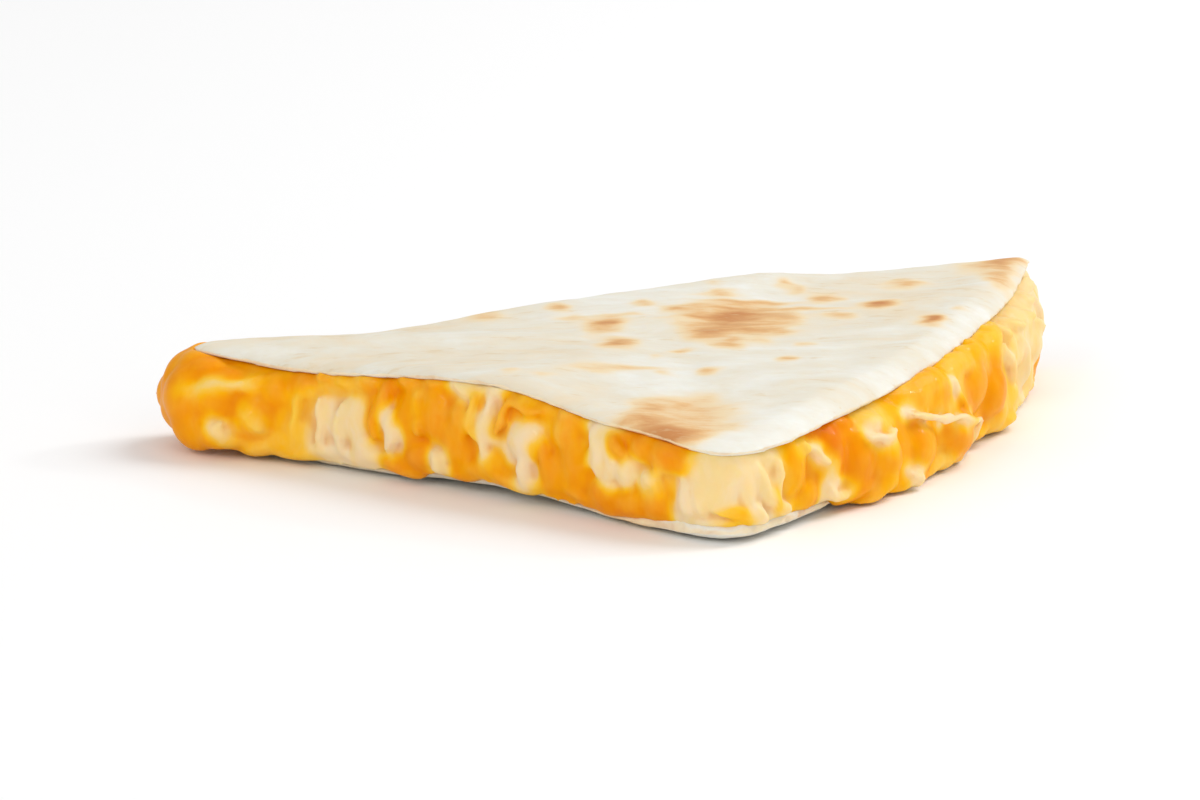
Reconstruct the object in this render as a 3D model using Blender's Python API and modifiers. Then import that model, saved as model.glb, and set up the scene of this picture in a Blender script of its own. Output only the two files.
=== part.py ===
"""Quesadilla wedge: melted orange and ivory cheese between two flour tortillas.

Metres, +Z up. The wedge lies on its lower tortilla. The origin is at the middle of its box in
plan, on the surface that it lies on. Its corners are called left, front and right: from the front,
the right one is at the back. A place on the outline is a number from 0 to 3: 0 is the left corner,
1 the front, 2 the right, and the fraction is the share passed of the side that follows."""

import math

import bmesh
import bpy
from mathutils import Vector, noise

MM = 0.001

# Plan of the upper tortilla: left, front and right corner before rounding.
CORNERS = (
    Vector((-58.4, 3.1)) * MM,
    Vector((17.2, -58.2)) * MM,
    Vector((59.6, 55.8)) * MM,
)
# How far each side bows outward in its middle: left-front, front-right, right-left.
SIDE_BOWS = (-1.0 * MM, 7.8 * MM, 0.8 * MM)
# How far from each corner its rounding starts.
UPPER_ROUNDING = (5 * MM, 14 * MM, 1.8 * MM)
LOWER_ROUNDING = (22 * MM, 7 * MM, 4 * MM)
POINTS_PER_SIDE = (28, 38, 30)
CENTRE = Vector((9, 1)) * MM

TORTILLA_THICKNESS = 1.4 * MM
TORTILLA_EDGE_ROUNDING = 0.4 * MM
GAP = 0.3 * MM

# Height of the upper face's edge above the rest plane, at places on the outline.
UPPER_EDGE_HEIGHTS = (
    (0.0, 14.2 * MM),
    (0.2, 14.0 * MM),
    (0.55, 16.6 * MM),
    (0.8, 14.1 * MM),
    (1.0, 12.3 * MM),
    (1.3, 14.0 * MM),
    (1.7, 15.4 * MM),
    (2.0, 15.8 * MM),
    (2.2, 15.4 * MM),
    (2.34, 16.8 * MM),
    (2.55, 15.2 * MM),
    (2.84, 12.8 * MM),
    (3.0, 14.2 * MM),
)
UPPER_MIDDLE_HEIGHT = 16.0 * MM
UPPER_WAVES = 0.35 * MM
# The upper edge turns down over the front-right side, as a lip.
LIP_DROPS = (
    (0.0, 0.3 * MM),
    (0.9, 0.4 * MM),
    (1.2, 2.0 * MM),
    (1.8, 1.6 * MM),
    (2.0, 0.3 * MM),
    (3.0, 0.3 * MM),
)
LIP_START = 0.93

# Height of the lower tortilla's edge, which curls up a little off the rest plane.
LOWER_EDGE_HEIGHTS = (
    (0.0, 0.3 * MM),
    (0.3, 0.1 * MM),
    (0.55, 1.5 * MM),
    (0.8, 0.2 * MM),
    (1.0, 0.6 * MM),
    (1.5, 0.3 * MM),
    (2.0, 1.0 * MM),
    (2.5, 0.4 * MM),
    (3.0, 0.3 * MM),
)
CURL_START = 0.8
# How far the lower tortilla's edge stays inside the outline, where cheese hangs over it.
LOWER_INSETS = (
    (0.0, 2.6 * MM),
    (0.12, 1.7 * MM),
    (0.68, 1.6 * MM),
    (0.86, 0.2 * MM),
    (1.12, 0.2 * MM),
    (1.35, 2.4 * MM),
    (1.8, 2.4 * MM),
    (2.0, 1.2 * MM),
    (2.15, 1.6 * MM),
    (2.85, 1.6 * MM),
    (3.0, 2.6 * MM),
)

# How far the cheese swells out past the tortillas, and how lumpy it is there.
CHEESE_SWELLS = (
    (0.0, 9.0 * MM),
    (0.28, 0.8 * MM),
    (0.9, 0.7 * MM),
    (1.1, 1.0 * MM),
    (1.3, 4.8 * MM),
    (1.6, 4.8 * MM),
    (1.82, 4.0 * MM),
    (2.0, 1.6 * MM),
    (2.1, 0.8 * MM),
    (2.84, 0.9 * MM),
    (3.0, 9.0 * MM),
)
# How a swell is spread over the wall's height: 0.5 is a full barrel, 1 a round nose.
SWELL_POWERS = (
    (0.0, 0.9),
    (0.15, 0.5),
    (1.1, 0.5),
    (1.3, 0.3),
    (1.8, 0.3),
    (2.0, 0.5),
    (2.85, 0.5),
    (3.0, 0.9),
)
# Melted cheese hangs: the foot of a swell drops by this share of it.
SAG_PER_SWELL = 0.4
CHEESE_LUMPS = (
    (0.0, 1.0 * MM),
    (0.15, 0.5 * MM),
    (1.0, 0.6 * MM),
    (1.2, 1.8 * MM),
    (1.9, 1.6 * MM),
    (2.1, 0.6 * MM),
    (3.0, 1.0 * MM),
)
LUMP_SIZE = 7 * MM
CHEESE_INSET = 0.985
FOOT_INSET = 0.6 * MM
RIM_CLEARANCE = 0.45 * MM
RIM_STEP = 0.15 * MM
# How far the cheese's foot hangs down past the lower tortilla's edge.
FOOT_DROOPS = (
    (0.0, 0.9 * MM),
    (0.12, 0.7 * MM),
    (0.68, 0.7 * MM),
    (0.82, 0.0 * MM),
    (1.16, 0.0 * MM),
    (1.35, 1.3 * MM),
    (1.8, 1.3 * MM),
    (2.0, 0.4 * MM),
    (2.15, 0.7 * MM),
    (2.85, 0.7 * MM),
    (3.0, 0.9 * MM),
)

# Shares of the way from the centre to the outline at which the faces have a ring of points.
RING_SHARES = (0.5, 0.76, 0.91, 0.965)
WALL_LEVELS = 7


def ease(share):
    """A smooth step from 0 to 1."""
    share = min(max(share, 0), 1)
    return share * share * (3 - 2 * share)


def value_at(stops, place):
    """The value at a place on the outline, eased between the stops around it."""
    for (start, low), (end, high) in zip(stops, stops[1:]):
        if place <= end:
            return low + (high - low) * ease((place - start) / (end - start))
    return stops[-1][1]


def side_point(side, share):
    """A point on one bowed side of the unrounded outline."""
    start, end = CORNERS[side], CORNERS[(side + 1) % 3]
    run = end - start
    outward = Vector((run.y, -run.x)).normalized()
    return start + run * share + outward * 4 * SIDE_BOWS[side] * share * (1 - share)


def outline_point(place, rounding):
    """The point at a place on the outline, whose corners are rounded by quadratic curves."""
    side = int(place) % 3
    share = place % 1
    length = (CORNERS[(side + 1) % 3] - CORNERS[side]).length
    head = rounding[side] / length
    tail = rounding[(side + 1) % 3] / length
    if head <= share <= 1 - tail:
        return side_point(side, share)
    if share < head:
        corner, along = side, 0.5 + 0.5 * share / head
    else:
        corner, along = (side + 1) % 3, 0.5 * (share - 1 + tail) / tail
    before = (corner + 2) % 3
    cut_before = 1 - rounding[corner] / (CORNERS[corner] - CORNERS[before]).length
    cut_after = rounding[corner] / (CORNERS[(corner + 1) % 3] - CORNERS[corner]).length
    first = side_point(before, cut_before).lerp(CORNERS[corner], along)
    last = CORNERS[corner].lerp(side_point(corner, cut_after), along)
    return first.lerp(last, along)


def outline_places():
    """Places all round the outline, closer together near the corners."""
    places = []
    for side, count in enumerate(POINTS_PER_SIDE):
        for step in range(count):
            even = step / count
            crowded = (1 - math.cos(math.pi * even)) / 2
            places.append(side + (even + crowded) / 2)
    return places


PLACES = outline_places()


def plan_point(place, share, rounding):
    """The point at a share of the way from the centre to the outline."""
    return CENTRE.lerp(outline_point(place, rounding), share)


def outward_at(place, rounding):
    """The outline's outward direction at a place."""
    step = 0.01
    before = outline_point((place - step) % 3, rounding)
    after = outline_point((place + step) % 3, rounding)
    run = after - before
    return Vector((run.y, -run.x)).normalized()


def upper_height(place, share, point):
    """Height of the upper tortilla's upper face."""
    lip = value_at(LIP_DROPS, place)
    edge = value_at(UPPER_EDGE_HEIGHTS, place) + lip
    height = edge + (UPPER_MIDDLE_HEIGHT - edge) * (1 - share**2)
    waves = noise.noise(Vector((point.x, point.y, 0)) / (18 * MM)) * UPPER_WAVES
    return height + waves - lip * ease((share - LIP_START) / (1 - LIP_START))


def lower_height(place, share):
    """Height of the lower tortilla's lower face: zero but for the curl of its edge."""
    return value_at(LOWER_EDGE_HEIGHTS, place) * ease((share - CURL_START) / (1 - CURL_START))


def upper_ring(share, drop):
    """A ring of points at a drop below the upper tortilla's upper face."""
    ring = []
    for place in PLACES:
        point = plan_point(place, share, UPPER_ROUNDING)
        ring.append(Vector((point.x, point.y, upper_height(place, share, point) - drop)))
    return ring


def lower_point(place, share, inset, rise):
    """A point at a rise above the lower tortilla's lower face, its outline drawn in by an inset."""
    edge = outline_point(place, LOWER_ROUNDING) - outward_at(place, LOWER_ROUNDING) * inset
    point = CENTRE.lerp(edge, share)
    return Vector((point.x, point.y, lower_height(place, share) + rise))


def lower_ring(share, rise):
    """A ring of points at a rise above the lower tortilla's lower face."""
    return [lower_point(place, share, value_at(LOWER_INSETS, place), rise) for place in PLACES]


def rim_ring(rise):
    """A ring just outside the lower tortilla's edge, or inside the cheese's foot if that is closer."""
    ring = []
    for place in PLACES:
        inset = max(value_at(LOWER_INSETS, place) - RIM_CLEARANCE, FOOT_INSET + RIM_STEP)
        ring.append(lower_point(place, 1, inset, rise))
    return ring


def foot_ring(rise):
    """The cheese's lower rim, which hangs down where it passes the lower tortilla's edge."""
    ring = []
    for place in PLACES:
        ring.append(lower_point(place, 1, FOOT_INSET, rise - value_at(FOOT_DROOPS, place)))
    return ring


def cheese_wall():
    """Rings from the lower tortilla's edge to the upper one, swelling out between them."""
    low = foot_ring(TORTILLA_THICKNESS + GAP)
    high = upper_ring(CHEESE_INSET, TORTILLA_THICKNESS + GAP)
    rings = [rim_ring(TORTILLA_THICKNESS + GAP)]
    for level in range(WALL_LEVELS + 1):
        rise = level / WALL_LEVELS
        arch = math.sin(math.pi * rise) if 0 < rise < 1 else 0
        ring = []
        for place, foot, head in zip(PLACES, low, high):
            point = foot.lerp(head, rise)
            barrel = arch ** value_at(SWELL_POWERS, place)
            lump = noise.noise(point / LUMP_SIZE) * value_at(CHEESE_LUMPS, place)
            swell = (value_at(CHEESE_SWELLS, place) + lump) * barrel
            move = outward_at(place, UPPER_ROUNDING).to_3d() * swell
            move.z = -SAG_PER_SWELL * swell * (1 - rise)
            ring.append(point + move)
        rings.append(ring)
    return rings


def loft(bm, rings):
    """Rows of faces between rings of equally many points; returns the rings' vertices."""
    rows = [[bm.verts.new(point) for point in ring] for ring in rings]
    for row, above in zip(rows, rows[1:]):
        for index in range(len(row)):
            after = (index + 1) % len(row)
            bm.faces.new((row[index], row[after], above[after], above[index]))
    return rows


def close_ring(bm, row):
    """A fan of faces from a ring to its middle."""
    middle = bm.faces.new(row)
    bmesh.ops.poke(bm, faces=[middle])


def add_object(name, bm, material, frame):
    """A smooth-shaded object of the mesh, under the frame."""
    mesh = bpy.data.meshes.new(name)
    bmesh.ops.recalc_face_normals(bm, faces=bm.faces)
    bm.to_mesh(mesh)
    bm.free()
    mesh.materials.append(material)
    mesh.shade_smooth()
    part = bpy.data.objects.new(name, mesh)
    part.parent = frame
    frame.users_collection[0].objects.link(part)
    return part


def add_tortilla(name, rings, material, frame):
    """A sheet on the rings, which run from the middle outward, thickened upward and rounded."""
    bm = bmesh.new()
    rows = loft(bm, rings)
    close_ring(bm, rows[0])
    part = add_object(name, bm, material, frame)
    if part.data.polygons[0].normal.z < 0:
        part.data.flip_normals()
    solidify = part.modifiers.new("Thickness", "SOLIDIFY")
    solidify.thickness = TORTILLA_THICKNESS
    solidify.offset = 1
    bevel = part.modifiers.new("Edge", "BEVEL")
    bevel.width = TORTILLA_EDGE_ROUNDING
    bevel.segments = 2
    bevel.limit_method = "ANGLE"
    bevel.angle_limit = math.radians(50)
    return part


def add_cheese(material, frame):
    """One closed body that fills the room between the tortillas and swells out at its sides."""
    fill = TORTILLA_THICKNESS + GAP
    rings = [lower_ring(share, fill) for share in RING_SHARES]
    rings += cheese_wall()
    rings += [upper_ring(share, fill) for share in reversed(RING_SHARES)]
    bm = bmesh.new()
    rows = loft(bm, rings)
    close_ring(bm, rows[0])
    close_ring(bm, rows[-1])
    return add_object("cheese_filling", bm, material, frame)


def make_material(name, colour, roughness):
    """A plain Principled material, its colour linear."""
    material = bpy.data.materials.new(name)
    material.use_nodes = True
    shader = material.node_tree.nodes["Principled BSDF"]
    shader.inputs["Base Color"].default_value = (*colour, 1)
    shader.inputs["Roughness"].default_value = roughness
    shader.inputs["Metallic"].default_value = 0
    return material


def centre_on_origin(parts, frame):
    """Moves the frame so that the parts' joint box is centred on the origin in plan."""
    bpy.context.view_layer.update()
    seen = bpy.context.evaluated_depsgraph_get()
    corners = []
    for part in parts:
        evaluated = part.evaluated_get(seen)
        corners += [evaluated.matrix_world @ Vector(corner) for corner in evaluated.bound_box]
    for axis in (0, 1):
        values = [corner[axis] for corner in corners]
        frame.location[axis] = -(min(values) + max(values)) / 2


def build():
    """Makes the wedge in a new collection."""
    for old in list(bpy.data.objects):
        bpy.data.objects.remove(old)
    collection = bpy.data.collections.new("quesadilla")
    bpy.context.scene.collection.children.link(collection)
    frame = bpy.data.objects.new("quesadilla_frame", None)
    collection.objects.link(frame)

    tortilla = make_material("tortilla", (0.91, 0.84, 0.73), 0.7)
    lower_tortilla = make_material("lower_tortilla", (0.88, 0.79, 0.66), 0.7)
    cheese = make_material("cheese", (0.92, 0.50, 0.09), 0.35)

    lower = [lower_ring(share, 0) for share in (*RING_SHARES, 1)]
    upper = [upper_ring(share, TORTILLA_THICKNESS) for share in (*RING_SHARES, 1)]
    parts = [
        add_tortilla("tortilla_bottom", lower, lower_tortilla, frame),
        add_cheese(cheese, frame),
        add_tortilla("tortilla_top", upper, tortilla, frame),
    ]
    centre_on_origin(parts, frame)


build()
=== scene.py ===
import math
import random

import bpy
from mathutils import Matrix, Vector, noise
from mathutils.bvhtree import BVHTree
from mathutils.kdtree import KDTree


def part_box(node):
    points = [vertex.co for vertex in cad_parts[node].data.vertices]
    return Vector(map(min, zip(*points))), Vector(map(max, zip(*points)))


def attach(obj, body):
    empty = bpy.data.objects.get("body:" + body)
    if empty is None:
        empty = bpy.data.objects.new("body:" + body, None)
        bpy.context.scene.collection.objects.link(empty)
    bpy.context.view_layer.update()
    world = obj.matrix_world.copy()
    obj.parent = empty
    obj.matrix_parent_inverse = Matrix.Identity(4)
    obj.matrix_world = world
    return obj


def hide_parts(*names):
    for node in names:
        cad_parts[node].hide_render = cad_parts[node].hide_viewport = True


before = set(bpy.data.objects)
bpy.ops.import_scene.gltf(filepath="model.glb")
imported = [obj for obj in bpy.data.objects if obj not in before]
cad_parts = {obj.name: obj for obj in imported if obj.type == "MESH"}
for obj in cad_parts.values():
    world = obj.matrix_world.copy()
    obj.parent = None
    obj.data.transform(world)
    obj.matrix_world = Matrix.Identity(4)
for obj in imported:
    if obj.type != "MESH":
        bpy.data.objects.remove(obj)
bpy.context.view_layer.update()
mm = 0.001


def deselectAll():
    for item in bpy.context.selected_objects:
        item.select_set(False)


def pick(*items):
    deselectAll()
    for item in items:
        item.select_set(True)
    bpy.context.view_layer.objects.active = items[0]


def applyModifier(piece, kind, **settings):
    modifier = piece.modifiers.new(kind, kind)
    for name, value in settings.items():
        setattr(modifier, name, value)
    pick(piece)
    bpy.ops.object.modifier_apply(modifier=modifier.name)


def copyNode(node, name):
    # a copy of a CAD node as one joined mesh, ready to be shaped
    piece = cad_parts[node].copy()
    piece.data = piece.data.copy()
    piece.data.materials.clear()
    for key in list(piece.keys()):
        del piece[key]
    piece.parent = None
    piece.name = name
    bpy.context.scene.collection.objects.link(piece)
    pick(piece)
    bpy.ops.object.mode_set(mode="EDIT")
    bpy.ops.mesh.select_all(action="SELECT")
    bpy.ops.mesh.remove_doubles(threshold=0.01 * mm)
    bpy.ops.object.mode_set(mode="OBJECT")
    return piece


def moveVertices(piece, rule):
    # rule takes a vertex and gives how far it moves
    moves = [rule(vertex) for vertex in piece.data.vertices]
    for vertex, move in zip(piece.data.vertices, moves):
        vertex.co += move
    piece.data.update()


def paint(piece, name, rule):
    # a number for each vertex, for a material to read
    layer = piece.data.attributes.new(name, "FLOAT", "POINT")
    for index, vertex in enumerate(piece.data.vertices):
        layer.data[index].value = rule(vertex)


def softenNumbers(piece, name, rounds):
    # blends each vertex's number with those of its neighbours
    data = piece.data.attributes[name].data
    values = [entry.value for entry in data]
    edges = [tuple(edge.vertices) for edge in piece.data.edges]
    for turn in range(rounds):
        sums = list(values)
        counts = [1] * len(values)
        for first, second in edges:
            sums[first] += values[second]
            sums[second] += values[first]
            counts[first] += 1
            counts[second] += 1
        values = [total / count for total, count in zip(sums, counts)]
    data.foreach_set("value", values)


def finishPiece(piece, material, node):
    piece.data.materials.clear()
    piece.data.materials.append(material)
    pick(piece)
    bpy.ops.object.shade_smooth()
    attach(piece, "root")
    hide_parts(node)


def ease(share):
    share = min(max(share, 0), 1)
    return share * share * (3 - 2 * share)


def wanderAt(point, size):
    # a smooth direction that wanders from place to place, the same on each run
    spot = point / size
    return Vector([noise.noise(spot + Vector((31.7, 57.3, 83.9)) * (axis + 1)) for axis in range(3)])


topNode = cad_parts["tortilla_top"]
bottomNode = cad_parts["tortilla_bottom"]
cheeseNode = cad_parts["cheese_filling"]
topPoints = [vertex.co.copy() for vertex in topNode.data.vertices]


def shellOf(node):
    # a node's surface, to find where a line meets it
    faces = [tuple(face.vertices) for face in node.data.polygons]
    return BVHTree.FromPolygons([vertex.co.copy() for vertex in node.data.vertices], faces)


topShell = shellOf(topNode)
bottomShell = shellOf(bottomNode)
cheeseShell = shellOf(cheeseNode)

# the wedge's corners, from the upper tortilla: left, front and right at the back
corners = [
    min(topPoints, key=lambda p: p.x),
    min(topPoints, key=lambda p: p.y),
    max(topPoints, key=lambda p: p.x + p.y),
]
middle = sum((corner.to_2d() for corner in corners), Vector((0, 0))) / 3
cheeseLow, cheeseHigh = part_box("cheese_filling")
# heights well below and above the wedge, and a distance in mm well outside it, where lines start
wellBelow = -10 * mm
wellAbove = 40 * mm
wellOutside = 120
upward = Vector((0, 0, 1))
downward = Vector((0, 0, -1))


def planSpot(place):
    # place runs from 0 to 3 round the wedge: left, front, right, and between them the shares passed
    side = math.floor(place) % 3
    start = corners[side].to_2d()
    end = corners[(side + 1) % 3].to_2d()
    return start.lerp(end, place - math.floor(place))


def sideLength(side):
    return (planSpot(side + 1) - planSpot(side)).length


def wallSpot(place, level, depth):
    # a spot on the cheese's side wall, level from its foot to its head, and which way is outward
    direction = (planSpot(place) - middle).normalized().to_3d()
    far = middle.to_3d() + direction * wellOutside * mm
    waist = far + Vector((0, 0, (cheeseLow[2] + cheeseHigh[2]) / 2))
    spot = cheeseShell.ray_cast(waist, -direction)[0]
    inner = spot - direction * 3 * mm
    low = cheeseShell.ray_cast(inner, downward)[0].z
    high = cheeseShell.ray_cast(inner, upward)[0].z
    inside = low + (high - low) * min(max(level, 0.1), 0.9)
    spot, normal = cheeseShell.ray_cast(far + Vector((0, 0, inside)), -direction)[:2]
    away = Vector((normal.x, normal.y, 0)).normalized()
    spot.z = low + (high - low) * level
    return spot + away * depth, away


class Wire:
    # a node's output: arithmetic on it adds Math nodes
    def __init__(self, tree, socket):
        self.tree = tree
        self.socket = socket

    def math(self, operation, first, second=None):
        node = self.tree.nodes.new("ShaderNodeMath")
        node.operation = operation
        plug(self.tree, node.inputs[0], first)
        if second is not None:
            plug(self.tree, node.inputs[1], second)
        return Wire(self.tree, node.outputs[0])

    def __add__(self, other):
        return self.math("ADD", self, other)

    def __radd__(self, other):
        return self.math("ADD", other, self)

    def __sub__(self, other):
        return self.math("SUBTRACT", self, other)

    def __rsub__(self, other):
        return self.math("SUBTRACT", other, self)

    def __mul__(self, other):
        return self.math("MULTIPLY", self, other)

    def clipped(self):
        low = self.math("MAXIMUM", self, 0.0)
        return self.math("MINIMUM", low, 1.0)


def plug(tree, socket, value):
    if isinstance(value, Wire):
        tree.links.new(value.socket, socket)
    else:
        socket.default_value = value


class Finish:
    # a material under construction
    def __init__(self, name):
        self.material = bpy.data.materials.new(name)
        self.material.use_nodes = True
        self.tree = self.material.node_tree
        self.shader = self.tree.nodes["Principled BSDF"]

    def node(self, kind, settings=None, sockets=None, out=0):
        node = self.tree.nodes.new("ShaderNode" + kind)
        for name, value in (settings or {}).items():
            if name == "stops":
                ramp = node.color_ramp.elements
                while len(ramp) < len(value):
                    ramp.new(0.5)
                for element, (place, shade) in zip(ramp, value):
                    element.position = place
                    element.color = shade
            else:
                setattr(node, name, value)
        for name, value in (sockets or {}).items():
            plug(self.tree, node.inputs[name], value)
        return Wire(self.tree, node.outputs[out])

    def place(self):
        return self.node("TexCoord", out="Object")

    def attribute(self, name):
        return self.node("Attribute", {"attribute_name": name}, out="Fac")

    def noise(self, scale, detail=3.0, rough=0.55, stretch=(1, 1, 1), warp=0.0):
        where = self.node("Mapping", {}, {"Vector": self.place(), "Scale": stretch})
        return self.node(
            "TexNoise",
            {},
            {"Vector": where, "Scale": scale, "Detail": detail, "Roughness": rough, "Distortion": warp},
        )

    def ramp(self, factor, stops):
        return self.node("ValToRGB", {"stops": stops}, {"Fac": factor})

    def step(self, value, low, high):
        # 0 below low, 1 above high, smooth between
        return self.node(
            "MapRange",
            {"interpolation_type": "SMOOTHSTEP"},
            {"Value": value, "From Min": low, "From Max": high},
        )

    def blend(self, factor, first, second, kind="MIX"):
        node = self.tree.nodes.new("ShaderNodeMix")
        node.data_type = "RGBA"
        node.blend_type = kind
        plug(self.tree, node.inputs["Factor"], factor)
        plug(self.tree, node.inputs[6], first)
        plug(self.tree, node.inputs[7], second)
        return Wire(self.tree, node.outputs[2])

    def bump(self, height, strength, distance, normal=None):
        sockets = {"Height": height, "Strength": strength, "Distance": distance}
        if normal is not None:
            sockets["Normal"] = normal
        return self.node("Bump", {}, sockets)

    def set(self, **values):
        for name, value in values.items():
            plug(self.tree, self.shader.inputs[name.replace("_", " ")], value)


def colour(red, green, blue):
    # screen colour, 0 to 255, as linear light with full alpha
    parts = []
    for part in (red, green, blue):
        part = part / 255
        parts.append(part / 12.92 if part <= 0.04045 else ((part + 0.055) / 1.055) ** 2.4)
    return (*parts, 1)


toasting = {
    # how far in mm, and over what length, the spots' outlines wander
    "wander": 1.3,
    "wanderSize": 3.5 * mm,
    # random spots on the lower tortilla
    "lowerSeed": 4,
    "lowerCount": 34,
    # x, y, half width and half depth in mm, and how brown
    "upper": [
        (18, 14.5, 4.8, 2.8, 0.72),
        (16.5, 9, 4.4, 4.6, 0.6),
        (13.5, 2, 2.4, 4.4, 0.52),
        (17, -4.5, 1.6, 3.2, 0.5),
        (20, 6, 3.8, 4.2, 0.36),
        (17.5, 20, 5.0, 1.6, 0.34),
        (25, 11, 2.2, 3.2, 0.3),
        (23.5, 4, 1.6, 2.6, 0.28),
        (21, -2, 1.6, 3.0, 0.22),
        (17, 9, 9.0, 10.0, 0.12),
        (20, 21.5, 5.5, 0.9, 0.42),
        (18, 17.8, 6.5, 0.9, 0.4),
        (28, 17, 5.0, 0.9, 0.42),
        (15, 24.5, 3.4, 0.8, 0.25),
        (14, 11.5, 6.0, 0.7, 0.25),
        (18, 3.5, 6.0, 0.7, 0.25),
        (0, 9, 2.2, 3.6, 0.72),
        (1.5, -5, 2.2, 3.2, 0.72),
        (-1, 3, 1.8, 3.0, 0.25),
        (3, 14, 2.4, 0.8, 0.3),
        (37.5, 19, 1.9, 2.6, 0.82),
        (44, 7, 1.6, 2.6, 0.92),
        (41, 34, 2.4, 3.4, 0.55),
        (30, 25, 2.0, 2.4, 0.58),
        (26, 31, 1.4, 2.4, 0.42),
        (24, 34, 1.1, 1.8, 0.4),
        (32, 12, 1.8, 1.8, 0.45),
        (-7, 20, 1.4, 2.4, 0.58),
        (-17, 17, 2.6, 2.6, 0.45),
        (-5, 13, 1.5, 2.0, 0.38),
        (4.5, 20, 1.6, 1.8, 0.46),
        (10, 16, 1.4, 1.7, 0.5),
        (15.5, 26, 1.5, 2.4, 0.34),
        (14.5, 32, 1.2, 1.6, 0.22),
        (2.5, -19, 5.0, 1.6, 0.42),
        (-2, -22, 3.8, 1.4, 0.36),
        (10.5, -9, 1.5, 1.4, 0.48),
        (7, -12, 1.1, 1.2, 0.3),
        (25, -14, 1.2, 1.8, 0.52),
        (14, -21, 1.2, 1.8, 0.48),
        (8, -22, 1.1, 1.4, 0.32),
        (-13, -26, 1.1, 1.8, 0.32),
        (-8, -27, 1.3, 1.5, 0.34),
        (27, -5, 1.1, 1.5, 0.3),
        (48, 14, 1.1, 1.5, 0.3),
        (11, -35, 4.2, 3.2, 0.42),
        (6, -39, 1.8, 2.4, 0.5),
        (12.5, -41, 5.0, 3.4, 0.38),
        (11, -38, 5.5, 0.8, 0.22),
        (14, -47, 4.2, 2.0, 0.3),
        (9, -48.5, 3.4, 2.0, 0.62),
        (5.5, -46, 2.4, 2.0, 0.5),
        (4, -44.5, 3.0, 1.4, 0.5),
        (8.5, -50, 3.4, 1.4, 0.7),
        (9, -43.5, 5.0, 2.4, 0.24),
        (54.5, 47, 2.6, 6.0, 0.68),
        (56, 51, 2.2, 2.6, 0.4),
        (54.5, 35, 1.6, 4.4, 0.58),
        (50, 44, 2.0, 4.0, 0.22),
        (-30, 9, 5.0, 7.0, 0.08),
        (-20, -14, 5.0, 4.0, 0.08),
        (-12, 8, 4.0, 6.0, 0.08),
        (33, 30, 3.0, 5.0, 0.1),
    ],
}

tortilla = {
    "voxel": 0.45 * mm,
    "smoothing": 8,
    "blisterSize": 5 * mm,
    "blisterHeight": 0.16 * mm,
    "ruffleSize": 2.2 * mm,
    "ruffleHeight": 0.05 * mm,
    "pinchWidth": 2.4 * mm,
    "pinchDepth": 0.55 * mm,
    "edgeSize": 1.6 * mm,
    "edgeDepth": (0.22 * mm, 0.5 * mm),
    "toastHeight": 0.12,  # in mm
    "floorGap": 0.02 * mm,
    "frontPuff": 0.9 * mm,
    "frontReach": 26 * mm,
}


def lowerSpots():
    random.seed(toasting["lowerSeed"])
    spots = []
    for index in range(toasting["lowerCount"]):
        wide = random.uniform(1.5, 6.0)
        deep = wide * random.uniform(0.6, 1.3)
        x = random.uniform(-50, 55)
        y = random.uniform(-50, 50)
        spots.append((x, y, wide, deep, random.uniform(0.25, 0.8)))
    return spots


def toastAt(spots, point):
    # how toasted the sheet is at a point, 0 to 1
    wander = wanderAt(point, toasting["wanderSize"]) * toasting["wander"]
    clear = 1
    for x, y, wide, deep, strength in spots:
        across = (point.x / mm - x + wander.x) / wide
        along = (point.y / mm - y + wander.y) / deep
        reach = across * across + along * along
        if reach < 9:
            clear *= 1 - strength * math.exp(-0.6 * reach)
    return 1 - clear


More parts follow.
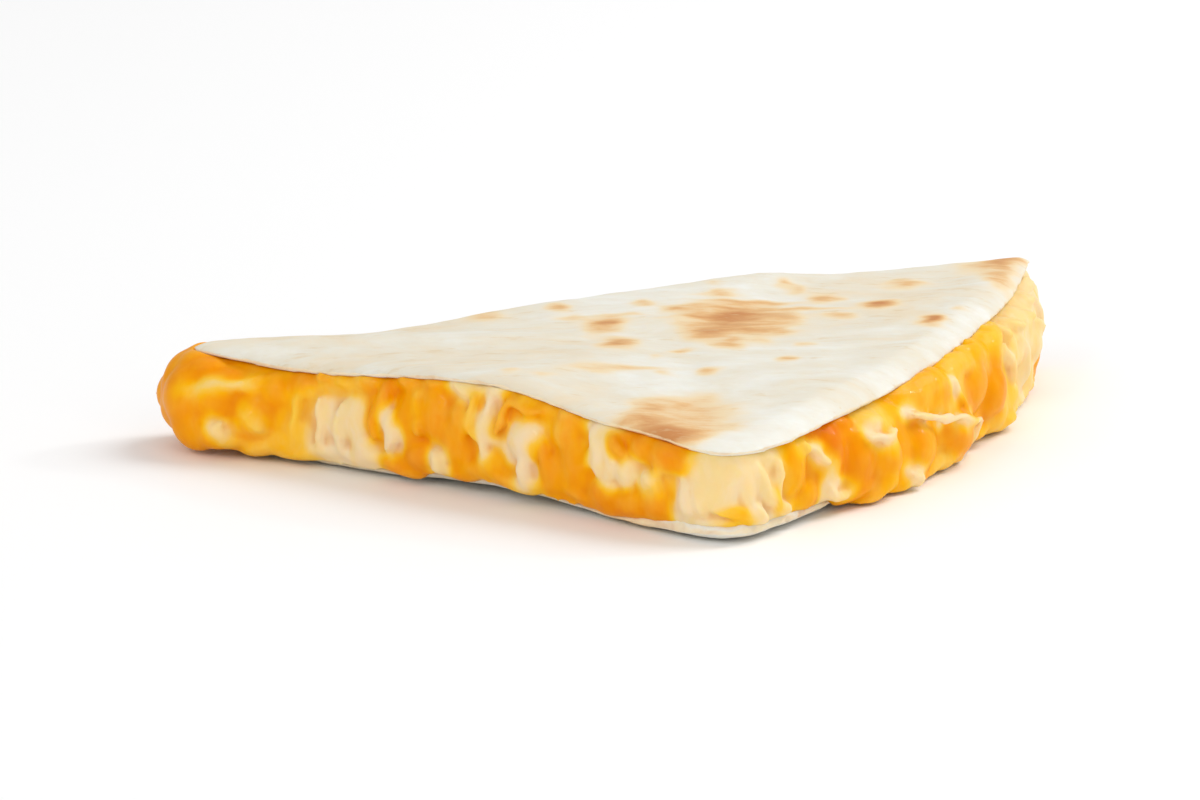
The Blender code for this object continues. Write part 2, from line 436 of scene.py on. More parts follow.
def shapeTortilla(node, name, spots, facing):
    # facing is 1 for the upper sheet, whose toasted face looks up, and -1 for the lower one
    piece = copyNode(node, name)
    applyModifier(piece, "REMESH", mode="VOXEL", voxel_size=tortilla["voxel"])
    applyModifier(piece, "SMOOTH", factor=0.5, iterations=tortilla["smoothing"])
    rim = [vertex.co.copy() for vertex in piece.data.vertices if abs(vertex.normal.z) < 0.4]
    rimTree = KDTree(len(rim))
    for index, spot in enumerate(rim):
        rimTree.insert(spot, index)
    rimTree.balance()

    def pinch(vertex):
        # the sheet gets thinner towards its edge
        near = rimTree.find(vertex.co)[2] / tortilla["pinchWidth"]
        drop = tortilla["pinchDepth"] * max(1 - near, 0) ** 2
        if facing < 0 and vertex.normal.z > 0.3:
            # the lower sheet swells along its edge at the front corner
            reach = (vertex.co.to_2d() - corners[1].to_2d()).length / tortilla["frontReach"]
            swell = tortilla["frontPuff"] * ease(1 - reach) * ease(1.3 - near)
            swell *= 0.8 + noise.noise(vertex.co / (2.5 * mm)) * 0.7
            return Vector((0, 0, swell))
        rise = -drop if vertex.normal.z * facing > 0 else 0.4 * drop
        return Vector((0, 0, rise)) * facing * abs(vertex.normal.z)

    moveVertices(piece, pinch)
    applyModifier(piece, "SMOOTH", factor=0.5, iterations=tortilla["smoothing"])
    paint(piece, "toast", lambda vertex: toastAt(spots, vertex.co))
    toast = piece.data.attributes["toast"]

    def roughen(vertex):
        # blisters, ruffles and raised toast marks on the faces, and a jagged cut edge
        point = vertex.co
        flat = Vector((point.x, point.y, 0))
        rise = noise.noise(flat / tortilla["blisterSize"]) * tortilla["blisterHeight"]
        rise += noise.noise(flat / tortilla["ruffleSize"]) * tortilla["ruffleHeight"]
        rise += toast.data[vertex.index].value * tortilla["toastHeight"] * mm
        move = Vector((0, 0, rise)) * (1 if facing * vertex.normal.z > 0 else 0.4)
        move.z = max(move.z, tortilla["floorGap"] - point.z)
        side = 1 - abs(vertex.normal.z)
        depth = tortilla["edgeDepth"][0 if facing > 0 else 1]
        jag = noise.fractal(point / tortilla["edgeSize"], 0.7, 2.0, 3) * depth
        return move + Vector((vertex.normal.x, vertex.normal.y, 0)) * jag * side

    moveVertices(piece, roughen)
    paint(piece, "cutEdge", lambda vertex: 1 - abs(vertex.normal.z))
    return piece


def tortillaFinish(name):
    look = Finish(name)
    patches = look.noise(55.0, 5.0, 0.62, (0.6, 1, 1), 0.8)
    mottle = look.noise(330.0, 4.0, 0.6, (0.5, 1, 1))
    flecks = look.noise(620.0, 3.0, 0.65, (0.3, 1, 1))
    grain = look.noise(1600.0, 2.0, 0.5)
    dough = look.ramp(
        patches,
        [
            (0.34, colour(229, 214, 187)),
            (0.48, colour(227, 223, 209)),
            (0.64, colour(234, 235, 229)),
        ],
    )
    dough = look.blend(((mottle - 0.5) * 0.9 + 0.22).clipped(), dough, colour(220, 204, 174))
    toast = look.attribute("toast")
    soft = toast * (0.42 + mottle * 0.7)
    marks = look.step(toast + (mottle - 0.5) * 0.8 + (flecks - 0.5) * 1.2, 0.24, 0.85)
    strength = (soft + marks * (0.06 + toast * 0.36)).clipped()
    brown = look.ramp(
        strength,
        [
            (0.0, colour(234, 225, 206)),
            (0.25, colour(233, 210, 170)),
            (0.5, colour(226, 184, 130)),
            (0.78, colour(212, 158, 102)),
            (1.0, colour(198, 134, 78)),
        ],
    )
    body = look.blend(look.step(strength, 0.0, 0.26), dough, brown)
    speckle = look.step(flecks + mottle * 0.6 - patches * 0.3, 0.76, 0.9)
    body = look.blend(speckle * 0.45, body, colour(216, 192, 150))
    edge = look.step(look.attribute("cutEdge"), 0.35, 0.8)
    browning = look.step(look.noise(180.0, 3.0, 0.6), 0.45, 0.7)
    rimColour = look.blend(browning * 0.6, colour(240, 220, 180), colour(206, 150, 92))
    body = look.blend(edge * 0.7, body, rimColour)
    rough = 0.62 + grain * 0.16
    bump = look.bump(mottle, 0.4, 0.3 * mm)
    bump = look.bump(grain, 0.25, 0.06 * mm, bump)
    look.set(Base_Color=body, Roughness=rough, Normal=bump)
    look.set(Subsurface_Weight=0.12, Subsurface_Scale=1.5 * mm, Subsurface_Radius=(1.0, 0.7, 0.4))
    look.set(Specular_IOR_Level=0.3)
    return look.material


print("tortillas")
tortillaTop = shapeTortilla("tortilla_top", "tortillaTop", toasting["upper"], 1)
finishPiece(tortillaTop, tortillaFinish("toasted tortilla"), "tortilla_top")
tortillaBottom = shapeTortilla("tortilla_bottom", "tortillaBottom", lowerSpots(), -1)
finishPiece(tortillaBottom, tortillaFinish("lower tortilla"), "tortilla_bottom")


cheese = {
    "seed": 11,
    "voxel": 0.38 * mm,
    # rounds of smoothing before and after the cheese is settled between the tortillas
    "melt": 13,
    "lastMelt": 3,
    "keptShare": 0.58,
    "lumpDepth": 3.6 * mm,
    "lumpLean": 0.35,
    # creaseDepth and creaseRounds measure the creases, which the cheese's material darkens with painted
    # shade, and the crests, which it lightens with a painted highlight
    "creaseDepth": 0.5 * mm,
    "creaseRounds": 40,
    # how far the body under the lumps is drawn in at its walls and grown at its faces, in mm
    "wallInset": 0.9,
    "faceGrowth": 0.4,
    # how far the cheese may go into the tortillas, how far above the upper one's underside it may
    # go beyond its edge, and how far it stays above the floor
    "into": 0.3 * mm,
    "pastEdge": 0.35 * mm,
    "floorGap": 0.4 * mm,
    # small hollows and swells: their sizes, and their depths in mm
    "swellSizes": (3.5 * mm, 1.1 * mm),
    "swells": (0.25, 0.04),
    # how far from a spot the lumps and strands are looked for that give it its tint
    "lumpRange": 9 * mm,
    "strandRange": 2.4 * mm,
    "plainTint": 0.8,
    "tintBlend": 0.45 * mm,
    "tintRounds": 4,
    # place round the wedge, level up the wall, half width and half height in mm, how far it stands
    # out in mm, and its tint from ivory 0 to orange 1 and deeper past it
    "lumps": [
        (0.0, 0.60, 4.5, 3.6, 0.2, 0.95),
        (0.01, 0.95, 5.0, 3.0, -0.6, 1.0),
        (0.03, 0.40, 4.5, 4.0, 0.4, 1.0),
        (0.045, 1.00, 4.0, 2.4, 0.2, 0.97),
        (0.075, 0.62, 5.0, 4.6, 0.5, 1.0),
        (0.095, 1.00, 4.4, 2.4, 0.4, 1.0),
        (0.11, 0.30, 4.5, 4.5, 0.5, 0.92),
        (0.15, 0.72, 4.4, 3.8, 0.6, 1.0),
        (0.155, 0.98, 4.0, 1.8, 0.5, 0.97),
        (0.155, 0.22, 3.6, 3.0, 0.6, 0.9),
        (0.195, 0.50, 3.8, 4.2, 0.5, 0.97),
        (0.215, 0.14, 4.4, 2.8, 0.5, 0.66),
        (0.205, 0.84, 3.4, 2.8, 0.5, 0.9),
        (0.235, 0.25, 3.2, 3.8, 0.4, 0.58),
        (0.24, 0.85, 3.0, 2.2, 0.5, 0.95),
        (0.28, 0.48, 3.2, 4.6, 0.5, 0.1),
        (0.30, 0.94, 3.0, 1.4, 0.6, 0.72),
        (0.325, 0.50, 3.4, 4.6, 0.4, 0.02),
        (0.335, 0.93, 2.8, 1.5, 0.6, 0.82),
        (0.345, 0.18, 3.2, 2.8, 0.5, 0.06),
        (0.375, 0.60, 2.4, 4.6, 0.5, 0.9),
        (0.43, 0.58, 3.6, 5.6, 0.9, 1.0),
        (0.45, 0.16, 3.8, 2.8, 0.8, 1.0),
        (0.475, 0.62, 3.6, 5.2, 0.9, 0.95),
        (0.515, 0.35, 3.2, 5.0, 0.8, 1.0),
        (0.535, 0.94, 2.8, 1.8, 0.6, 0.12),
        (0.525, 0.62, 2.4, 3.0, 0.8, 0.97),
        (0.575, 0.60, 2.8, 4.0, 0.5, 0.1),
        (0.575, 0.14, 3.6, 2.8, 0.6, 0.85),
        (0.645, 0.52, 4.0, 4.0, 0.9, 0.0),
        (0.65, 0.92, 3.4, 1.8, 0.5, 0.7),
        (0.695, 0.25, 3.2, 3.4, 0.7, 0.92),
        (0.715, 0.76, 3.2, 3.2, 0.6, 0.82),
        (0.74, 0.40, 4.0, 5.0, 0.9, 0.92),
        (0.785, 0.74, 2.4, 3.2, 0.8, 0.03),
        (0.79, 0.20, 4.2, 3.0, 0.9, 1.0),
        (0.828, 0.52, 2.4, 3.0, 0.8, 0.06),
        (0.835, 0.16, 4.2, 2.8, 0.9, 1.0),
        (0.86, 0.84, 3.6, 2.6, 0.9, 1.0),
        (0.868, 0.45, 3.0, 2.6, 0.8, 0.75),
        (0.875, 0.22, 3.4, 3.4, 0.8, 0.97),
        (0.90, 0.82, 4.0, 2.8, 1.3, 1.0),
        (0.935, 0.80, 3.0, 2.4, 1.1, 0.95),
        (0.935, 0.34, 3.0, 4.0, 0.5, 0.08),
        (0.965, 0.52, 3.0, 4.6, 0.5, 0.1),
        (0.97, 0.93, 3.0, 1.6, 0.6, 0.2),
        (1.0, 0.50, 3.4, 4.8, 0.5, 0.12),
        (1.01, 0.94, 3.4, 1.6, 0.6, 0.25),
        (1.035, 0.50, 3.0, 4.6, 0.5, 0.14),
        (1.055, 0.94, 3.4, 1.6, 0.6, 0.22),
        (1.07, 0.50, 3.0, 4.4, 0.5, 0.1),
        (1.095, 0.86, 3.0, 2.0, 0.4, 0.2),
        (1.105, 0.35, 2.6, 3.8, 0.5, 0.16),
        (1.15, 0.55, 3.4, 4.4, 0.7, 0.86),
        (1.14, 0.86, 2.6, 2.2, 0.3, 0.8),
        (1.175, 0.18, 3.0, 2.8, 0.5, 0.82),
        (1.185, 0.92, 4.6, 2.4, -0.4, 1.2),
        (1.225, 0.70, 4.0, 3.8, -0.2, 1.2),
        (1.255, 0.44, 4.2, 4.2, 0.3, 1.12),
        (1.24, 0.96, 3.6, 1.8, 0.0, 1.1),
        (1.255, 0.16, 3.8, 2.6, 0.5, 0.95),
        (1.285, 0.96, 3.0, 1.3, 0.5, 0.45),
        (1.305, 0.46, 3.8, 4.2, 0.8, 0.86),
        (1.305, 0.14, 4.2, 2.4, 0.8, 0.74),
        (1.37, 0.36, 4.8, 4.2, 1.0, 0.9),
        (1.365, 0.90, 7.0, 3.2, 0.1, 0.76),
        (1.42, 0.94, 6.0, 3.0, 0.2, 0.8),
        (1.43, 0.34, 4.8, 3.8, 1.0, 0.95),
        (1.42, 0.08, 4.6, 2.0, 0.8, 0.6),
        (1.39, 1.00, 5.4, 2.6, 0.1, 0.78),
        (1.45, 0.98, 6.4, 3.0, 0.2, 0.72),
        (1.47, 1.05, 6.0, 2.4, 0.3, 0.66),
        (1.51, 1.00, 6.4, 2.8, 0.3, 0.7),
        (1.48, 0.18, 4.2, 2.8, 0.7, 0.7),
        (1.49, 0.70, 5.4, 4.6, 0.5, 0.95),
        (1.54, 0.50, 4.8, 4.2, 0.6, 0.93),
        (1.545, 0.88, 4.6, 2.8, 0.3, 0.9),
        (1.55, 0.16, 4.4, 2.8, 0.6, 0.6),
        (1.55, 1.05, 6.0, 2.4, 0.3, 0.6),
        (1.61, 0.72, 5.0, 4.2, 0.4, 0.34),
        (1.61, 0.25, 4.6, 3.4, 0.5, 0.5),
        (1.66, 0.50, 5.0, 4.6, 0.4, 0.18),
        (1.69, 0.90, 5.0, 2.6, 0.3, 0.3),
        (1.70, 0.24, 4.6, 3.4, 0.5, 0.34),
        (1.74, 0.56, 4.6, 4.2, 0.5, 0.2),
        (1.79, 0.30, 4.4, 3.8, 0.6, 0.9),
        (1.80, 0.84, 4.8, 2.8, 0.3, 0.2),
        (1.85, 0.50, 4.4, 4.2, 0.4, 0.2),
        (1.88, 0.86, 4.4, 2.8, 0.2, 0.12),
        (1.90, 0.22, 3.8, 3.2, 0.4, 0.5),
        (1.945, 0.92, 4.0, 2.4, 0.0, 0.06),
        (1.93, 0.52, 4.0, 4.4, 0.0, 0.12),
        (1.96, 0.50, 3.0, 4.0, -1.0, 0.05),
    ],
    # strands: place and level of both ends, radius in mm, how far out in mm, tint
    "strands": [
        (0.105, 0.82, 0.17, 1.06, 0.7, 1.2, 0.1),
        (0.172, 0.44, 0.156, 0.0, 0.8, 1.1, 0.25),
        (0.19, 0.62, 0.20, 0.25, 0.7, 1.0, 0.55),
        (0.238, 0.80, 0.234, 0.35, 0.7, 0.5, 0.55),
        (0.27, 0.75, 0.265, 0.15, 0.8, 1.0, 0.2),
        (0.305, 0.70, 0.30, 0.10, 0.9, 1.0, 0.0),
        (0.385, 0.96, 0.365, 0.30, 1.2, 1.2, 1.0),
        (0.40, 0.66, 0.395, 0.18, 1.3, 1.3, 0.0),
        (0.45, 0.92, 0.452, 0.35, 0.7, 1.2, 0.85),
        (0.487, 0.24, 0.487, 0.0, 1.2, 1.6, 0.0),
        (0.552, 0.92, 0.55, 0.40, 0.7, 1.1, 0.72),
        (0.575, 0.90, 0.57, 0.25, 0.9, 0.9, 0.0),
        (0.597, 0.50, 0.616, 0.94, 0.7, 1.1, 0.85),
        (0.616, 0.94, 0.675, 0.88, 0.7, 1.1, 0.85),
        (0.645, 0.35, 0.645, 0.02, 1.2, 1.2, 0.0),
        (0.775, 1.0, 0.785, 0.42, 1.3, 1.3, 0.0),
        (0.80, 0.95, 0.805, 0.55, 0.9, 1.0, 0.1),
        (0.812, 0.95, 0.822, 0.70, 0.8, 1.3, 0.95),
        (0.862, 0.56, 0.885, 0.50, 0.9, 1.3, 0.1),
        (0.93, 0.60, 0.935, 0.12, 1.1, 1.0, 0.05),
        (0.955, 0.90, 0.96, 0.15, 1.0, 1.0, 0.12),
        (0.975, 0.95, 0.982, 0.25, 0.9, 0.9, 0.05),
        (0.985, 0.26, 1.07, 0.13, 0.8, 1.3, 0.76),
        (1.0, 0.95, 1.0, 0.25, 1.0, 1.0, 0.15),
        (1.02, 0.95, 1.022, 0.20, 0.9, 1.0, 0.08),
        (1.045, 0.92, 1.055, 0.15, 1.0, 1.0, 0.18),
        (1.055, 0.32, 1.085, 0.02, 1.1, 1.3, 0.0),
        (1.07, 0.85, 1.095, 0.25, 0.9, 1.0, 0.1),
        (1.088, 0.46, 1.118, 0.08, 0.8, 1.1, 0.6),
        (1.115, 0.80, 1.118, 0.30, 0.8, 0.8, 0.25),
        (1.12, 0.20, 1.135, 0.03, 0.7, 1.0, 0.2),
        (1.16, 0.84, 1.17, 0.76, 0.7, 1.0, 0.4),
        (1.178, 0.80, 1.205, 0.52, 0.6, 0.7, 0.08),
        (1.207, 0.20, 1.214, 0.0, 0.9, 1.0, 0.0),
        (1.215, 0.05, 1.24, 0.03, 0.7, 1.0, 0.3),
        (1.262, 0.80, 1.312, 0.76, 0.6, 1.2, 0.03),
        (1.345, 0.84, 1.405, 0.66, 0.65, 1.4, 0.0),
        (1.40, 0.67, 1.462, 0.42, 0.65, 1.5, 0.02),
        (1.36, 0.72, 1.43, 0.55, 0.5, 1.3, 0.1),
        (1.458, 0.44, 1.482, 0.20, 0.6, 1.3, 0.08),
        (1.345, 0.16, 1.35, 0.0, 1.2, 1.3, 0.1),
        (1.43, 1.05, 1.442, 0.80, 1.0, 1.0, 0.05),
        (1.47, 0.30, 1.49, 0.05, 1.0, 1.2, 0.15),
        (1.58, 0.95, 1.60, 0.45, 1.0, 1.0, 0.25),
        (1.64, 0.90, 1.65, 0.30, 1.1, 1.0, 0.1),
        (1.73, 0.86, 1.78, 0.60, 0.9, 1.2, 0.1),
        (1.80, 0.60, 1.82, 0.15, 1.0, 1.0, 0.15),
        (1.88, 0.90, 1.90, 0.25, 1.2, 0.9, 0.05),
        (1.94, 0.90, 1.95, 0.20, 1.3, 0.5, 0.05),
    ],
    # loose random strands on each side: one for each so many mm
    "strandEvery": (18.0, 30.0, 6.0),
    # where melted cheese hangs over the lower tortilla's edge: from, to, how far out in mm
    "overhangs": [(0.10, 0.88, 0.5), (1.26, 1.88, 0.5), (2.08, 2.92, 0.7)],
    # small bits along the upper tortilla's edge: from, to, one for each so many mm
    "edgeBits": [(0.18, 0.86, 6.0), (1.6, 1.9, 9.0), (2.08, 2.95, 6.0)],
    # points along a strand, and how far it sways in mm
    "strandSteps": 12,
    "strandSway": 0.9,
}


def tintNear(place, level):
    # the tint of the lump whose middle is nearest
    def gap(lump):
        along = (lump[0] - place) * sideLength(math.floor(place) % 3) / (lump[2] * mm)
        up = (lump[1] - level) * 11 / lump[3]
        return along * along + up * up

    return min(cheese["lumps"], key=gap)[5]


def makeLumpShape():
    deselectAll()
    bpy.ops.mesh.primitive_ico_sphere_add(subdivisions=3, radius=1, location=(0, 0, 0))
    return bpy.context.object


lumpShape = makeLumpShape()
lumpPieces = []
lumpForms = []
strandPoints = []


def addLump(place, level, wide, tall, out, tint):
    deep = cheese["lumpDepth"]
    spot, away = wallSpot(place, level, out * mm - deep)
    along = Vector((-away.y, away.x, 0))
    axes = Matrix((along * wide * mm, away * deep, Vector((0, 0, tall * mm)))).transposed().to_4x4()
    lean = Matrix.Rotation(random.uniform(-cheese["lumpLean"], cheese["lumpLean"]), 4, away)
    piece = lumpShape.copy()
    piece.data = lumpShape.data.copy()
    form = Matrix.Translation(spot) @ lean @ axes
    piece.data.transform(form)
    bpy.context.scene.collection.objects.link(piece)
    lumpPieces.append(piece)
    lumpForms.append((spot, form.inverted(), tint))


def makeStrand(points, radius, tint):
    curve = bpy.data.curves.new("strand", "CURVE")
    curve.dimensions = "3D"
    curve.bevel_depth = radius
    curve.bevel_resolution = 2
    curve.use_fill_caps = True
    spline = curve.splines.new("POLY")
    spline.points.add(len(points) - 1)
    for index, point in enumerate(points):
        along = index / (len(points) - 1)
        spline.points[index].co = (*point, 1)
        spline.points[index].radius = math.sin(math.pi * (0.12 + 0.76 * along)) ** 0.6
        strandPoints.append((point, radius * spline.points[index].radius, tint))
    piece = bpy.data.objects.new("strand", curve)
    bpy.context.scene.collection.objects.link(piece)
    pick(piece)
    bpy.ops.object.convert(target="MESH")
    lumpPieces.append(bpy.context.object)


def addStrand(place, level, endPlace, endLevel, radius, out, tint):
    shift = random.uniform(0, 50)
    wander = cheese["strandSway"] * mm / sideLength(math.floor(place) % 3)
    points = []
    for step in range(cheese["strandSteps"]):
        along = step / (cheese["strandSteps"] - 1)
        sway = noise.noise(Vector((shift, along * 2.5, 0))) * wander
        lift = noise.noise(Vector((shift, along * 2.5, 9))) * 0.06
        here = place + (endPlace - place) * along + sway
        height = level + (endLevel - level) * along + lift
        points.append(wallSpot(here, height, (out - radius) * mm)[0])
    makeStrand(points, radius * mm, tint)


print("cheese lumps")
# two rows of random lumps along the hidden side
random.seed(cheese["seed"])
for level, tall, every in ((0.32, 5.2, 6.5), (0.72, 4.2, 7.0)):
    place = 2.06
    tint = 1.0
    while place < 2.96:
        if random.random() < 0.7:
            tint = random.choice((0.03, 0.1, 0.7, 0.85, 0.95, 1.0, 1.0))
        if place > 2.87:
            # the left corner is orange all round
            tint = 1.0
        wide = random.uniform(3.4, 6.4)
        height = level + random.uniform(-0.1, 0.1)
        out = random.uniform(0.4, 0.8)
        cheese["lumps"].append((place, height, wide, tall * random.uniform(0.8, 1.25), out, tint))
        place += every * random.uniform(0.6, 1.3) * mm / sideLength(2)
for index, lump in enumerate(cheese["lumps"]):
    random.seed(index)
    addLump(*lump)
for index, strand in enumerate(cheese["strands"]):
    random.seed(500 + index)
    addStrand(*strand)
for index, (first, last, out) in enumerate(cheese["overhangs"]):
    random.seed(cheese["seed"] + 100 + index)
    place = first
    while place < last:
        reach = out * random.uniform(0.7, 1.3)
        level = random.uniform(0.02, 0.1)
        wide = random.uniform(4.0, 6.0)
        addLump(place, level, wide, random.uniform(1.3, 1.8), reach, tintNear(place, 0.1))
        place += random.uniform(3.0, 5.0) * mm / sideLength(math.floor(place))
for index, (first, last, every) in enumerate(cheese["edgeBits"]):
    random.seed(cheese["seed"] + 200 + index)
    place = first
    while place < last:
        tint = tintNear(place, 0.9) * random.uniform(0.8, 1.0)
        reach = random.uniform(0.5, 1.0)
        level = random.uniform(0.96, 1.02)
        wide = random.uniform(1.4, 3.4)
        addLump(place, level, wide, random.uniform(1.0, 1.8), reach, tint)
        place += every * random.uniform(0.6, 1.4) * mm / sideLength(math.floor(place))
for side, every in enumerate(cheese["strandEvery"]):
    random.seed(cheese["seed"] + 300 + side)
    length = sideLength(side)
    for index in range(int(length / (every * mm))):
        place = side + random.uniform(0.03, 0.97)
        level = random.uniform(0.5, 0.95)
        drop = random.uniform(0.2, 0.6)
        lean = random.uniform(-2.5, 2.5) * mm / length
        tint = tintNear(place, level - drop / 2)
        if side == 2 and random.random() < 0.4:
            tint = random.choice((0.0, 0.5, 1.0))
        radius = random.uniform(0.6, 0.9)
        out = random.uniform(0.5, 0.9)
        addStrand(place, level, place + lean, level - drop, radius, out, tint)
bpy.data.objects.remove(lumpShape)

print("melting the cheese")
body = copyNode("cheese_filling", "cheeseBody")


def fitBody(vertex):
    wall = 1 - abs(vertex.normal.z)
    return vertex.normal * ((1 - wall) * cheese["faceGrowth"] - wall * cheese["wallInset"]) * mm


moveVertices(body, fitBody)
lumpTree = KDTree(len(lumpForms))
for index, (spot, form, tint) in enumerate(lumpForms):
    lumpTree.insert(spot, index)
lumpTree.balance()
strandTree = KDTree(len(strandPoints))
for index, (spot, radius, tint) in enumerate(strandPoints):
    strandTree.insert(spot, index)
strandTree.balance()
pick(body, *lumpPieces)
bpy.ops.object.join()
cheesePiece = body
cheesePiece.name = "meltedCheese"
applyModifier(cheesePiece, "REMESH", mode="VOXEL", voxel_size=cheese["voxel"])
applyModifier(cheesePiece, "SMOOTH", factor=0.5, iterations=cheese["melt"])
topTree = KDTree(len(topPoints))
for index, point in enumerate(topPoints):
    topTree.insert((point.x, point.y, 0), index)
topTree.balance()


def ceilingAt(point):
    # how high the cheese may go: just past the upper tortilla's underside, and beyond the
    # tortilla's edge just past the underside of that edge
    up = topShell.ray_cast(Vector((point.x, point.y, wellBelow)), upward)[0]
    if up:
        return up.z + cheese["into"]
    near = topTree.find_n(Vector((point.x, point.y, 0)), 6)
    return min(topPoints[index].z for spot, index, distance in near) + cheese["pastEdge"]


def settle(vertex):
    # lets the cheese only a little into the tortillas, and gives it small hollows and swells
    point = vertex.co
    side = 1 - abs(vertex.normal.z)
    swell = 0
    for size, depth in zip(cheese["swellSizes"], cheese["swells"]):
        swell += noise.noise(point / size) * depth * mm
    move = vertex.normal * swell * side
    move.z = min(move.z, ceilingAt(point) - point.z)
    down = bottomShell.ray_cast(Vector((point.x, point.y, wellAbove)), downward)[0]
    floorLevel = down.z - cheese["into"] if down else cheese["floorGap"]
    move.z = max(move.z, floorLevel - point.z)
    return move


moveVertices(cheesePiece, settle)
applyModifier(cheesePiece, "SMOOTH", factor=0.5, iterations=cheese["lastMelt"])
applyModifier(cheesePiece, "DECIMATE", ratio=cheese["keptShare"])


def tintAt(vertex):
    # the tints of the lumps and strands whose skins are nearest
    warp = wanderAt(vertex.co, 3.0 * mm) * 1.1 + wanderAt(vertex.co, 1.2 * mm) * 0.3
    point = vertex.co + warp * mm
    reaches = []
    for where, index, distance in lumpTree.find_range(point, cheese["lumpRange"]):
        spot, form, tint = lumpForms[index]
        inside = form @ point
        slope = form.to_3x3().transposed() @ inside.normalized()
        reaches.append(((inside.length - 1) / slope.length, tint))
    for where, index, distance in strandTree.find_range(point, cheese["strandRange"]):
        spot, radius, tint = strandPoints[index]
        reaches.append((distance - radius, tint))
    nearest = min(reach for reach, tint in reaches) if reaches else 0
    total = 0
    weights = 0
    for reach, tint in reaches:
        weight = math.exp((nearest - reach) / cheese["tintBlend"])
        total += tint * weight
        weights += weight
    return total / weights if weights else cheese["plainTint"]


paint(cheesePiece, "tint", tintAt)
softenNumbers(cheesePiece, "tint", cheese["tintRounds"])

# how deep each spot lies in a crease, from a smoother copy of the cheese: 0.5 is level with it; from this
# the cheese's material paints shade into the creases and a highlight onto the crests
smoother = cheesePiece.copy()
smoother.data = cheesePiece.data.copy()
bpy.context.scene.collection.objects.link(smoother)
applyModifier(smoother, "SMOOTH", factor=0.5, iterations=cheese["creaseRounds"])
smooth = [vertex.co.copy() for vertex in smoother.data.vertices]
bpy.data.objects.remove(smoother)


def creaseShadeAndHighlightAt(vertex):
    depth = (smooth[vertex.index] - vertex.co).dot(vertex.normal)
    return min(max(0.5 + depth / cheese["creaseDepth"], 0), 1)


# painted shade and highlight: the material darkens the cheese where this is high and lightens it where it
# is low
paint(cheesePiece, "crease", creaseShadeAndHighlightAt)
print("cheese triangles", sum(len(face.vertices) - 2 for face in cheesePiece.data.polygons))


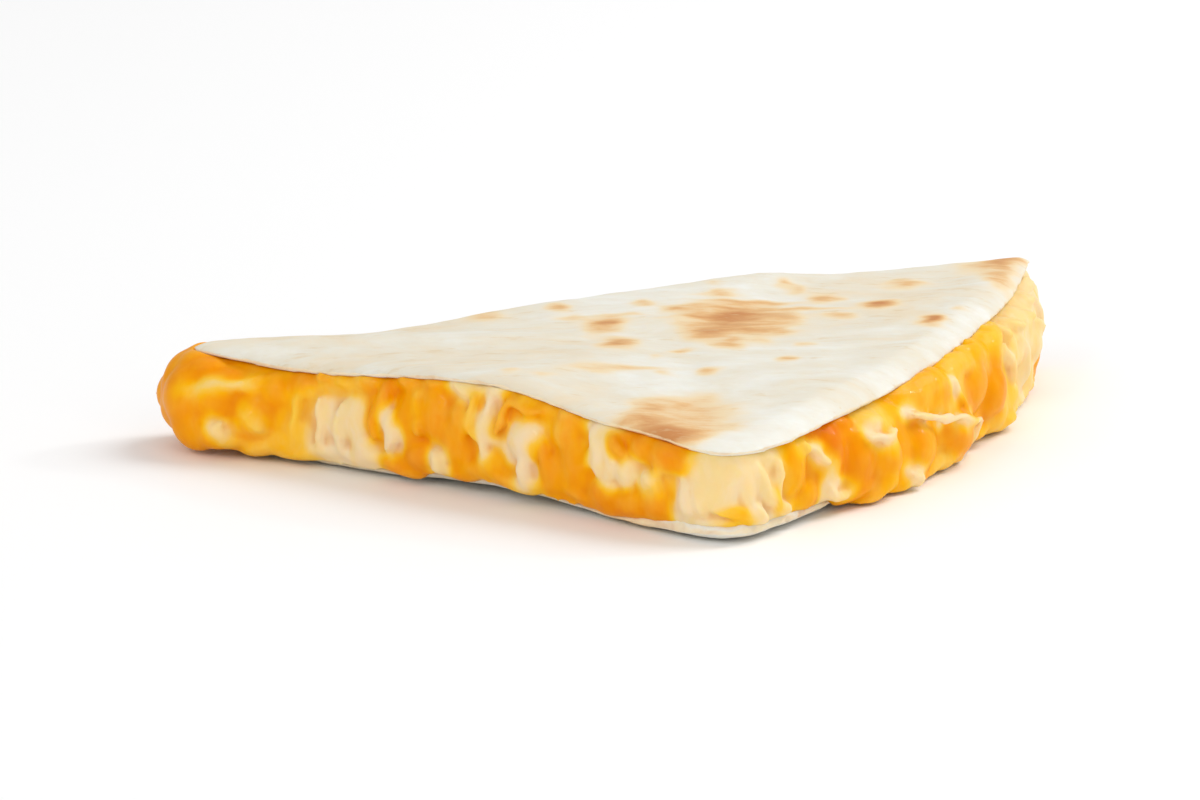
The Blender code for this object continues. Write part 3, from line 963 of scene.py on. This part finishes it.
def cheeseFinish():
    look = Finish("melted cheese")
    tint = look.attribute("tint")
    marbling = look.noise(500.0, 3.0, 0.55, (1, 1, 0.4), 0.8)
    drift = look.step(look.noise(130.0, 3.0, 0.6, warp=0.6), 0.40, 0.64)
    streaks = look.noise(300.0, 3.0, 0.6, (1, 1, 0.3), 0.5)
    mixed = tint + (marbling - 0.5) * 0.16 + (streaks - 0.5) * 0.26 - drift * tint * 0.1
    mixed = (mixed * 0.85).clipped()
    body = look.ramp(
        mixed,
        [
            (0.0, colour(237, 213, 174)),
            (0.19, colour(242, 210, 148)),
            (0.38, colour(245, 195, 66)),
            (0.58, colour(245, 178, 6)),
            (0.71, colour(241, 160, 0)),
            (0.85, colour(236, 144, 0)),
            (1.0, colour(228, 118, 0)),
        ],
    )
    tone = look.step(look.noise(210.0, 3.0, 0.6, (1, 1, 0.6), 0.6), 0.42, 0.66)
    body = look.blend(tone * (0.85 - mixed).clipped() * 0.65, body, colour(238, 206, 124))
    # painted shade: the cheese is darkened and reddened in its creases
    crease = look.step(look.attribute("crease"), 0.5, 1.0)
    body = look.blend(crease * 0.6, body, look.blend(1.0, body, (0.88, 0.62, 0.40, 1), "MULTIPLY"))
    # painted highlight: the cheese is lightened towards pale yellow on its crests
    paintedCrestHighlight = look.step(look.attribute("crease"), 0.45, 0.0)
    body = look.blend(paintedCrestHighlight * 0.16, body, look.blend(0.35, body, colour(252, 226, 150)))
    rough = 0.26 + marbling * 0.16
    fine = look.noise(1400.0, 2.0, 0.5)
    bump = look.bump(marbling, 0.3, 0.2 * mm)
    bump = look.bump(fine, 0.2, 0.04 * mm, bump)
    look.set(Base_Color=body, Roughness=rough, Normal=bump)
    look.set(Subsurface_Weight=0.25, Subsurface_Scale=2.2 * mm, Subsurface_Radius=(1.0, 0.5, 0.15))
    look.set(Specular_IOR_Level=0.02, Coat_Weight=0.11, Coat_Roughness=0.11)
    return look.material


finishPiece(cheesePiece, cheeseFinish(), "cheese_filling")

studio = {
    "lens": 279.2,
    "stand": Vector((0.0111, -1.235, 0.2824)),
    "pitch": math.radians(-12.57),
    "turn": math.radians(0.554),
}


def makeFloor():
    deselectAll()
    bpy.ops.mesh.primitive_circle_add(vertices=96, radius=6, fill_type="NGON", location=(0, 0, -0.05 * mm))
    floor = bpy.context.object
    floor.name = "floor"
    look = Finish("pale floor")
    shade = look.noise(3.0, 2.0, 0.5)
    pale = look.blend(shade * 0.1, (0.97, 0.97, 0.97, 1), (0.955, 0.955, 0.955, 1))
    look.set(Base_Color=pale, Roughness=0.6)
    floor.data.materials.append(look.material)


def makeLight(name, place, size, power):
    # a round lamp that faces the wedge
    lamp = bpy.data.lights.new(name, "AREA")
    lamp.shape = "DISK"
    lamp.size = size
    lamp.energy = power
    light = bpy.data.objects.new(name, lamp)
    light.location = place
    light.rotation_euler = (-Vector(place)).to_track_quat("-Z", "Y").to_euler()
    bpy.context.scene.collection.objects.link(light)


print("stage")
makeFloor()
makeLight("key", (0.8, 0.35, 1.1), 0.9, 9.3)
makeLight("fill", (-0.9, -1.1, 0.8), 1.4, 5.4)
makeLight("front", (0.5, -1.3, 0.5), 0.9, 3)
makeLight("glint", (1.0, 0.45, 0.65), 0.12, 1.6)
makeLight("glintLeft", (-0.5, -1.2, 0.75), 0.12, 1.2)
world = bpy.data.worlds.new("studio")
bpy.context.scene.world = world
world.use_nodes = True
world.node_tree.nodes["Background"].inputs["Color"].default_value = (1, 1, 1, 1)
world.node_tree.nodes["Background"].inputs["Strength"].default_value = 0.56

cameraData = bpy.data.cameras.new("camera")
cameraData.lens = studio["lens"]
camera = bpy.data.objects.new("camera", cameraData)
camera.location = studio["stand"]
camera.rotation_euler = (math.pi / 2 + studio["pitch"], 0, studio["turn"])
bpy.context.scene.collection.objects.link(camera)
bpy.context.scene.camera = camera
bpy.context.scene.view_settings.view_transform = "Standard"
